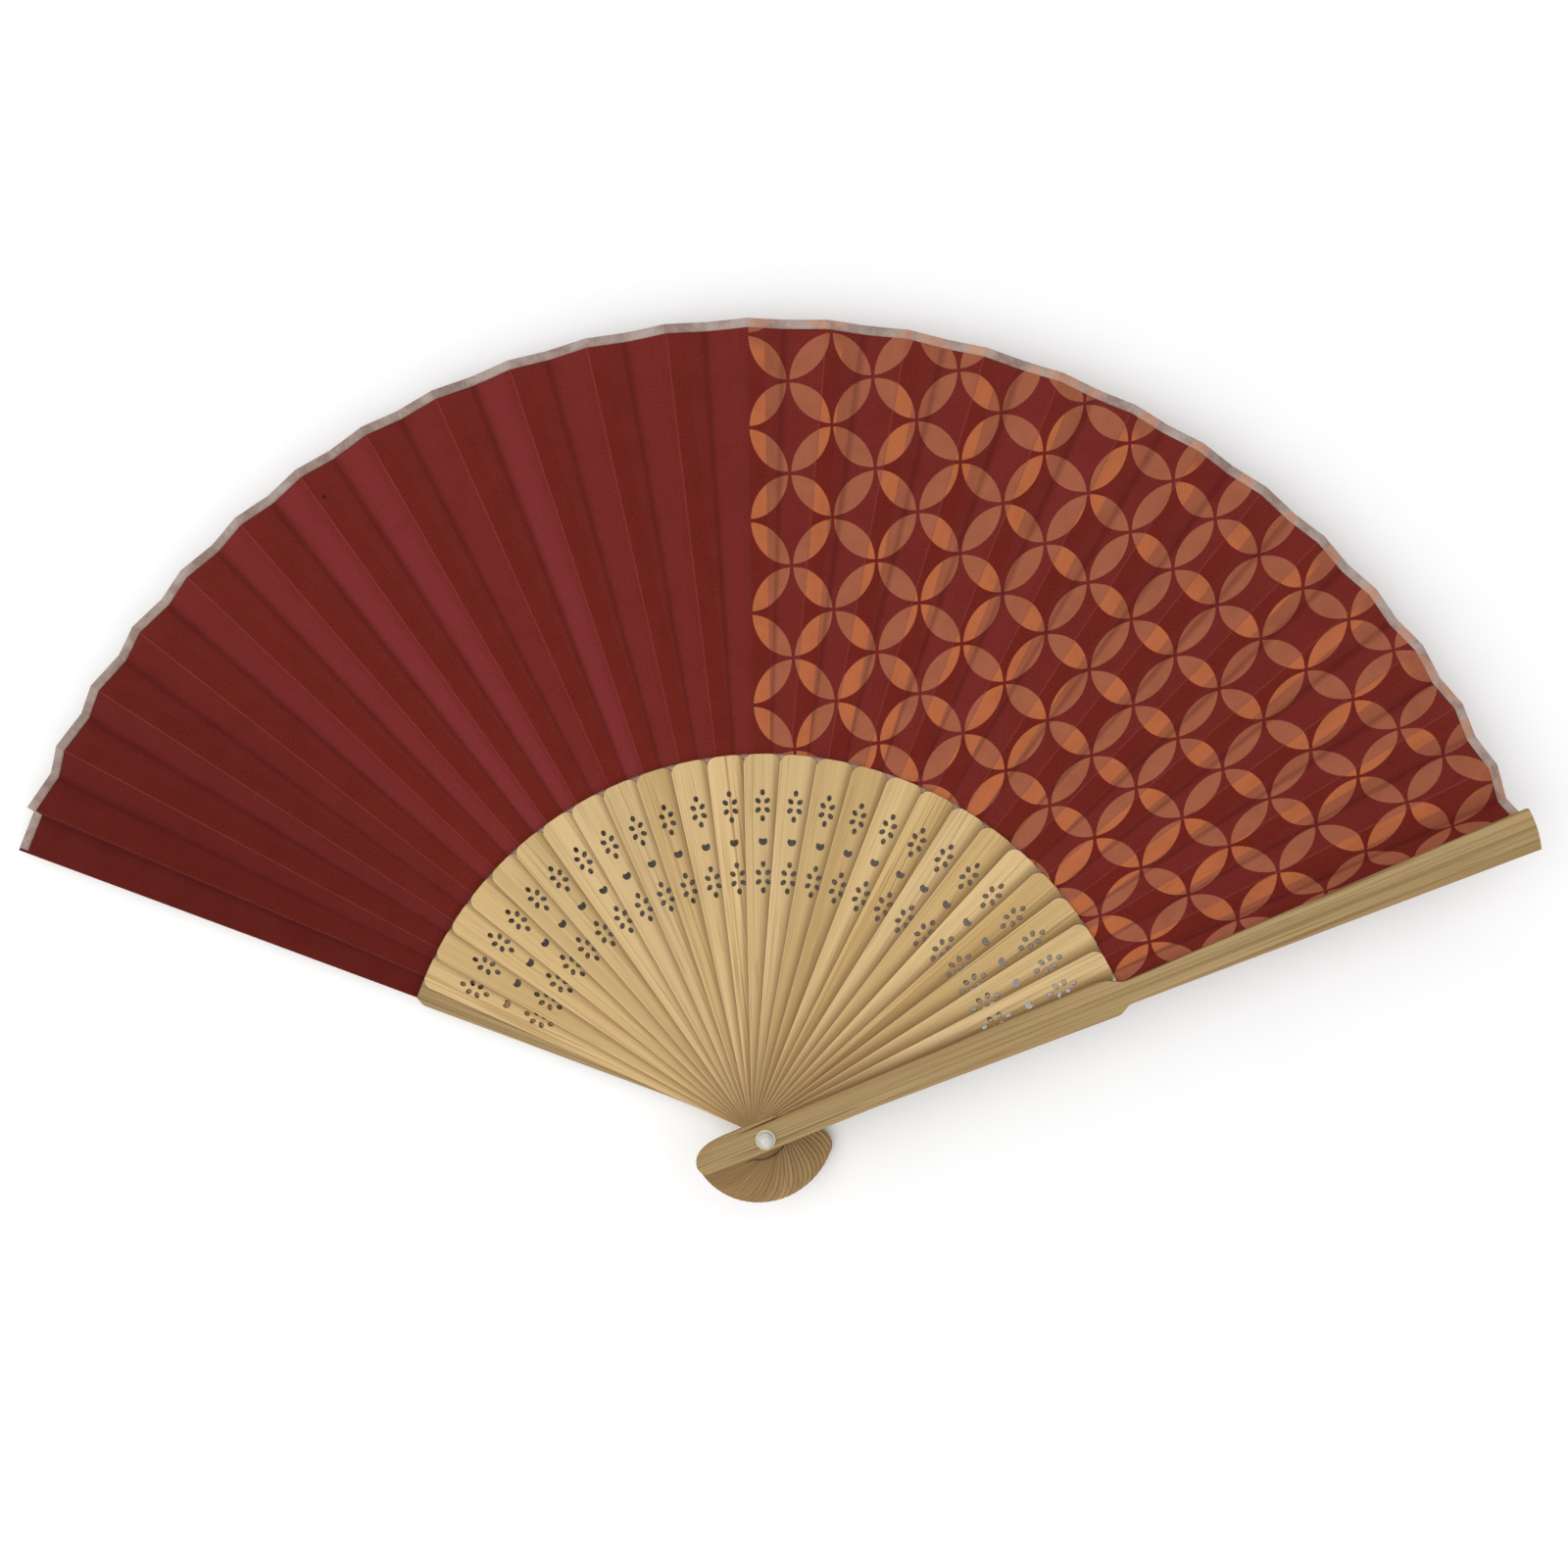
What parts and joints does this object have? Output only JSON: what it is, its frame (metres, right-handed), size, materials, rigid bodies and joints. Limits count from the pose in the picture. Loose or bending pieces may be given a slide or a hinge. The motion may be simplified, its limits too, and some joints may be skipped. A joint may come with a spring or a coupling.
{
  "type": "folding hand fan",
  "caption": "Folding hand fan with pierced bamboo sticks on one rivet, two thick guards and a pleated cloth leaf, plain on one half and printed with interlocking circles on the other.",
  "frame": {"origin": "on the rivet's axis, in the flat back face of the rivet's cap", "axes": "+Z along the rivet's axis, out of the fan's front side; +Y along the middle sticks, towards the leaf's rim; +X to the right, towards the front guard"},
  "size_m": [0.3588, 0.2087, 0.0216],
  "materials": {
    "bamboo_sticks": "pale sanded bamboo, satin, fine lengthwise grain",
    "bamboo_guards": "darker bamboo with its skin, satin, lengthwise fibres",
    "leaf_cloth": "thin dark red woven cloth, one half printed with orange interlocking circles",
    "rim_tape": "thin translucent grey binding tape",
    "pearl_rivet": "glossy pearl white plastic",
    "clear_washer": "clear to milky thin plastic"
  },
  "bodies": {
    "back_side": {"back_guard": "bamboo_guards", "leaf_pleat_00": "leaf_cloth", "rivet_pin": "pearl_rivet", "rivet_cap": "pearl_rivet", "washer_back": "clear_washer", "washer_front": "clear_washer"},
    "blade_01": {"stick_01": "bamboo_sticks", "leaf_pleat_01": "leaf_cloth"},
    "blade_02": {"stick_02": "bamboo_sticks", "leaf_pleat_02": "leaf_cloth"},
    "blade_03": {"stick_03": "bamboo_sticks", "leaf_pleat_03": "leaf_cloth"},
    "blade_04": {"stick_04": "bamboo_sticks", "leaf_pleat_04": "leaf_cloth"},
    "blade_05": {"stick_05": "bamboo_sticks", "leaf_pleat_05": "leaf_cloth"},
    "blade_06": {"stick_06": "bamboo_sticks", "leaf_pleat_06": "leaf_cloth"},
    "blade_07": {"stick_07": "bamboo_sticks", "leaf_pleat_07": "leaf_cloth"},
    "blade_08": {"stick_08": "bamboo_sticks", "leaf_pleat_08": "leaf_cloth"},
    "blade_09": {"stick_09": "bamboo_sticks", "leaf_pleat_09": "leaf_cloth"},
    "blade_10": {"stick_10": "bamboo_sticks", "leaf_pleat_10": "leaf_cloth"},
    "blade_11": {"stick_11": "bamboo_sticks", "leaf_pleat_11": "leaf_cloth"},
    "blade_12": {"stick_12": "bamboo_sticks", "leaf_pleat_12": "leaf_cloth"},
    "blade_13": {"stick_13": "bamboo_sticks", "leaf_pleat_13": "leaf_cloth"},
    "blade_14": {"stick_14": "bamboo_sticks", "leaf_pleat_14": "leaf_cloth"},
    "blade_15": {"stick_15": "bamboo_sticks", "leaf_pleat_15": "leaf_cloth"},
    "blade_16": {"stick_16": "bamboo_sticks", "leaf_pleat_16": "leaf_cloth"},
    "blade_17": {"stick_17": "bamboo_sticks", "leaf_pleat_17": "leaf_cloth"},
    "blade_18": {"stick_18": "bamboo_sticks", "leaf_pleat_18": "leaf_cloth"},
    "blade_19": {"stick_19": "bamboo_sticks", "leaf_pleat_19": "leaf_cloth"},
    "blade_20": {"stick_20": "bamboo_sticks", "leaf_pleat_20": "leaf_cloth"},
    "blade_21": {"stick_21": "bamboo_sticks", "leaf_pleat_21": "leaf_cloth"},
    "blade_22": {"stick_22": "bamboo_sticks", "leaf_pleat_22": "leaf_cloth"},
    "blade_23": {"stick_23": "bamboo_sticks", "leaf_pleat_23": "leaf_cloth"},
    "blade_24": {"stick_24": "bamboo_sticks", "leaf_pleat_24": "leaf_cloth"},
    "blade_25": {"stick_25": "bamboo_sticks", "leaf_pleat_25": "leaf_cloth"},
    "front_side": {"front_guard": "bamboo_guards", "leaf_pleat_26": "leaf_cloth"}
  },
  "joints": [
    {"name": "fold_01", "type": "hinge", "parent": "back_side", "child": "blade_01", "pos_m": [0, 0, 0], "axis": [0, 0, 1], "range_deg": [0, 3.1], "deforming": ["leaf_pleat_00"]},
    {"name": "fold_02", "type": "hinge", "parent": "blade_01", "child": "blade_02", "pos_m": [0, 0, 0], "axis": [0, 0, 1], "range_deg": [0, 4.78], "deforming": ["leaf_pleat_01"]},
    {"name": "fold_03", "type": "hinge", "parent": "blade_02", "child": "blade_03", "pos_m": [0, 0, 0], "axis": [0, 0, 1], "range_deg": [0, 4.95], "deforming": ["leaf_pleat_02"]},
    {"name": "fold_04", "type": "hinge", "parent": "blade_03", "child": "blade_04", "pos_m": [0, 0, 0], "axis": [0, 0, 1], "range_deg": [0, 5.09], "deforming": ["leaf_pleat_03"]},
    {"name": "fold_05", "type": "hinge", "parent": "blade_04", "child": "blade_05", "pos_m": [0, 0, 0], "axis": [0, 0, 1], "range_deg": [0, 5.22], "deforming": ["leaf_pleat_04"]},
    {"name": "fold_06", "type": "hinge", "parent": "blade_05", "child": "blade_06", "pos_m": [0, 0, 0], "axis": [0, 0, 1], "range_deg": [0, 5.33], "deforming": ["leaf_pleat_05"]},
    {"name": "fold_07", "type": "hinge", "parent": "blade_06", "child": "blade_07", "pos_m": [0, 0, 0], "axis": [0, 0, 1], "range_deg": [0, 5.43], "deforming": ["leaf_pleat_06"]},
    {"name": "fold_08", "type": "hinge", "parent": "blade_07", "child": "blade_08", "pos_m": [0, 0, 0], "axis": [0, 0, 1], "range_deg": [0, 5.51], "deforming": ["leaf_pleat_07"]},
    {"name": "fold_09", "type": "hinge", "parent": "blade_08", "child": "blade_09", "pos_m": [0, 0, 0], "axis": [0, 0, 1], "range_deg": [0, 5.57], "deforming": ["leaf_pleat_08"]},
    {"name": "fold_10", "type": "hinge", "parent": "blade_09", "child": "blade_10", "pos_m": [0, 0, 0], "axis": [0, 0, 1], "range_deg": [0, 5.62], "deforming": ["leaf_pleat_09"]},
    {"name": "fold_11", "type": "hinge", "parent": "blade_10", "child": "blade_11", "pos_m": [0, 0, 0], "axis": [0, 0, 1], "range_deg": [0, 5.65], "deforming": ["leaf_pleat_10"]},
    {"name": "fold_12", "type": "hinge", "parent": "blade_11", "child": "blade_12", "pos_m": [0, 0, 0], "axis": [0, 0, 1], "range_deg": [0, 5.66], "deforming": ["leaf_pleat_11"]},
    {"name": "fold_13", "type": "hinge", "parent": "blade_12", "child": "blade_13", "pos_m": [0, 0, 0], "axis": [0, 0, 1], "range_deg": [0, 5.66], "deforming": ["leaf_pleat_12"]},
    {"name": "fold_14", "type": "hinge", "parent": "blade_13", "child": "blade_14", "pos_m": [0, 0, 0], "axis": [0, 0, 1], "range_deg": [0, 5.65], "deforming": ["leaf_pleat_13"]},
    {"name": "fold_15", "type": "hinge", "parent": "blade_14", "child": "blade_15", "pos_m": [0, 0, 0], "axis": [0, 0, 1], "range_deg": [0, 5.62], "deforming": ["leaf_pleat_14"]},
    {"name": "fold_16", "type": "hinge", "parent": "blade_15", "child": "blade_16", "pos_m": [0, 0, 0], "axis": [0, 0, 1], "range_deg": [0, 5.58], "deforming": ["leaf_pleat_15"]},
    {"name": "fold_17", "type": "hinge", "parent": "blade_16", "child": "blade_17", "pos_m": [0, 0, 0], "axis": [0, 0, 1], "range_deg": [0, 5.53], "deforming": ["leaf_pleat_16"]},
    {"name": "fold_18", "type": "hinge", "parent": "blade_17", "child": "blade_18", "pos_m": [0, 0, 0], "axis": [0, 0, 1], "range_deg": [0, 5.47], "deforming": ["leaf_pleat_17"]},
    {"name": "fold_19", "type": "hinge", "parent": "blade_18", "child": "blade_19", "pos_m": [0, 0, 0], "axis": [0, 0, 1], "range_deg": [0, 5.4], "deforming": ["leaf_pleat_18"]},
    {"name": "fold_20", "type": "hinge", "parent": "blade_19", "child": "blade_20", "pos_m": [0, 0, 0], "axis": [0, 0, 1], "range_deg": [0, 5.32], "deforming": ["leaf_pleat_19"]},
    {"name": "fold_21", "type": "hinge", "parent": "blade_20", "child": "blade_21", "pos_m": [0, 0, 0], "axis": [0, 0, 1], "range_deg": [0, 5.23], "deforming": ["leaf_pleat_20"]},
    {"name": "fold_22", "type": "hinge", "parent": "blade_21", "child": "blade_22", "pos_m": [0, 0, 0], "axis": [0, 0, 1], "range_deg": [0, 5.13], "deforming": ["leaf_pleat_21"]},
    {"name": "fold_23", "type": "hinge", "parent": "blade_22", "child": "blade_23", "pos_m": [0, 0, 0], "axis": [0, 0, 1], "range_deg": [0, 5.03], "deforming": ["leaf_pleat_22"]},
    {"name": "fold_24", "type": "hinge", "parent": "blade_23", "child": "blade_24", "pos_m": [0, 0, 0], "axis": [0, 0, 1], "range_deg": [0, 4.93], "deforming": ["leaf_pleat_23"]},
    {"name": "fold_25", "type": "hinge", "parent": "blade_24", "child": "blade_25", "pos_m": [0, 0, 0], "axis": [0, 0, 1], "range_deg": [0, 4.83], "deforming": ["leaf_pleat_24"]},
    {"name": "fold_26", "type": "hinge", "parent": "blade_25", "child": "front_side", "pos_m": [0, 0, 0], "axis": [0, 0, 1], "range_deg": [0, 4.72], "deforming": ["leaf_pleat_25"]}
  ],
  "couplings": [
    {"joint": "fold_02", "follows": "fold_01", "ratio": 1.5411},
    {"joint": "fold_03", "follows": "fold_01", "ratio": 1.5962},
    {"joint": "fold_04", "follows": "fold_01", "ratio": 1.6432},
    {"joint": "fold_05", "follows": "fold_01", "ratio": 1.6844},
    {"joint": "fold_06", "follows": "fold_01", "ratio": 1.7202},
    {"joint": "fold_07", "follows": "fold_01", "ratio": 1.7507},
    {"joint": "fold_08", "follows": "fold_01", "ratio": 1.7761},
    {"joint": "fold_09", "follows": "fold_01", "ratio": 1.7963},
    {"joint": "fold_10", "follows": "fold_01", "ratio": 1.8114},
    {"joint": "fold_11", "follows": "fold_01", "ratio": 1.8215},
    {"joint": "fold_12", "follows": "fold_01", "ratio": 1.8265},
    {"joint": "fold_13", "follows": "fold_01", "ratio": 1.8268},
    {"joint": "fold_14", "follows": "fold_01", "ratio": 1.8225},
    {"joint": "fold_15", "follows": "fold_01", "ratio": 1.8138},
    {"joint": "fold_16", "follows": "fold_01", "ratio": 1.801},
    {"joint": "fold_17", "follows": "fold_01", "ratio": 1.7844},
    {"joint": "fold_18", "follows": "fold_01", "ratio": 1.7642},
    {"joint": "fold_19", "follows": "fold_01", "ratio": 1.7409},
    {"joint": "fold_20", "follows": "fold_01", "ratio": 1.7148},
    {"joint": "fold_21", "follows": "fold_01", "ratio": 1.6864},
    {"joint": "fold_22", "follows": "fold_01", "ratio": 1.6559},
    {"joint": "fold_23", "follows": "fold_01", "ratio": 1.6238},
    {"joint": "fold_24", "follows": "fold_01", "ratio": 1.5905},
    {"joint": "fold_25", "follows": "fold_01", "ratio": 1.5564},
    {"joint": "fold_26", "follows": "fold_01", "ratio": 1.522}
  ]
}
